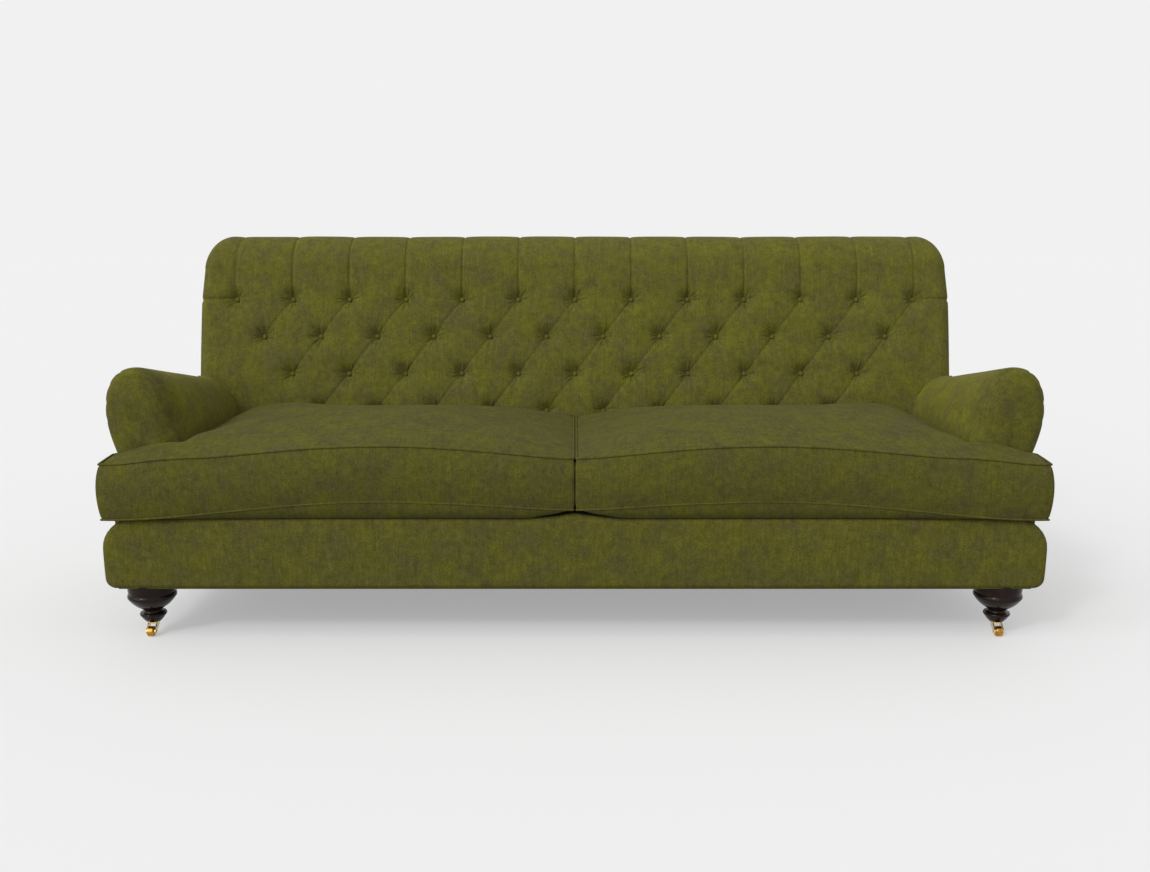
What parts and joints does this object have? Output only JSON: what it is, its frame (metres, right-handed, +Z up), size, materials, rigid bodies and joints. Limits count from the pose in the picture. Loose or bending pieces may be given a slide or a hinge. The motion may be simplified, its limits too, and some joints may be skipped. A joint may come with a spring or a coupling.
{
  "type": "four-seater sofa",
  "caption": "Upholstered sofa with a deep-buttoned rolled back, sloping roll arms, loose winged seat cushions, turned front legs on swivelling castors and swept rear legs.",
  "frame": {"origin": "centre of the sofa's box, at floor level", "axes": "+X along the sofa to the viewer's right, +Y from front to rear, +Z up"},
  "size_m": [2.258, 0.9007, 0.9496],
  "materials": {
    "velvet": "mottled olive velvet pile",
    "leg_wood": "near-black gloss polish",
    "frame_wood": "plain sawn hardwood",
    "webbing": "woven jute strap",
    "deck_cloth": "plain lining cloth",
    "dust_cloth": "black bottoming cloth",
    "foam": "foam and feather filling",
    "brass": "polished",
    "steel": "plated",
    "nylon": "moulded"
  },
  "bodies": {
    "sofa": {"back_buttons": "velvet", "back_centre_post": "frame_wood", "back_left_post": "frame_wood", "back_right_post": "frame_wood", "back_top_rail": "frame_wood", "back_tuck_rail": "frame_wood", "back_webbing": "webbing", "dust_cover": "dust_cloth", "frame_centre_rail": "frame_wood", "frame_corner_blocks": "frame_wood", "frame_front_rail": "frame_wood", "frame_left_end_rail": "frame_wood", "frame_rear_rail": "frame_wood", "frame_right_end_rail": "frame_wood", "front_border": "velvet", "front_left_leg": "leg_wood", "front_right_leg": "leg_wood", "inside_back": "velvet", "left_arm_pad": "velvet", "left_arm_post": "frame_wood", "left_arm_rail": "frame_wood", "left_castor_socket": "brass", "left_outside_arm": "velvet", "leg_bolts": "steel", "outside_back": "velvet", "rear_glides": "nylon", "rear_left_leg": "leg_wood", "rear_right_leg": "leg_wood", "right_arm_pad": "velvet", "right_arm_post": "frame_wood", "right_arm_rail": "frame_wood", "right_castor_socket": "brass", "right_outside_arm": "velvet", "seat_deck": "deck_cloth", "seat_webbing_crossways": "webbing", "seat_webbing_lengthways": "webbing"},
    "left_cushion": {"left_seat_cushion": "velvet", "left_cushion_core": "foam"},
    "right_cushion": {"right_seat_cushion": "velvet", "right_cushion_core": "foam"},
    "left_castor_swivel": {"left_castor_fork": "brass", "left_castor_axle": "steel"},
    "left_castor_roller": {"left_castor_wheel": "brass"},
    "right_castor_swivel": {"right_castor_fork": "brass", "right_castor_axle": "steel"},
    "right_castor_roller": {"right_castor_wheel": "brass"}
  },
  "joints": [
    {"name": "left_cushion_lift", "type": "slide", "parent": "sofa", "child": "left_cushion", "axis": [0, 0, 1], "range_m": [0, 0.35]},
    {"name": "right_cushion_lift", "type": "slide", "parent": "sofa", "child": "right_cushion", "axis": [0, 0, 1], "range_m": [0, 0.35]},
    {"name": "left_castor_turn", "type": "hinge", "parent": "sofa", "child": "left_castor_swivel", "pos_m": [-1.026, -0.36623, 0.033], "axis": [0, 0, 1], "continuous": true},
    {"name": "left_castor_roll", "type": "hinge", "parent": "left_castor_swivel", "child": "left_castor_roller", "pos_m": [-1.026, -0.38723, 0.0125], "axis": [1, 0, 0], "continuous": true},
    {"name": "right_castor_turn", "type": "hinge", "parent": "sofa", "child": "right_castor_swivel", "pos_m": [1.026, -0.36623, 0.033], "axis": [0, 0, 1], "continuous": true},
    {"name": "right_castor_roll", "type": "hinge", "parent": "right_castor_swivel", "child": "right_castor_roller", "pos_m": [1.026, -0.38723, 0.0125], "axis": [1, 0, 0], "continuous": true}
  ]
}
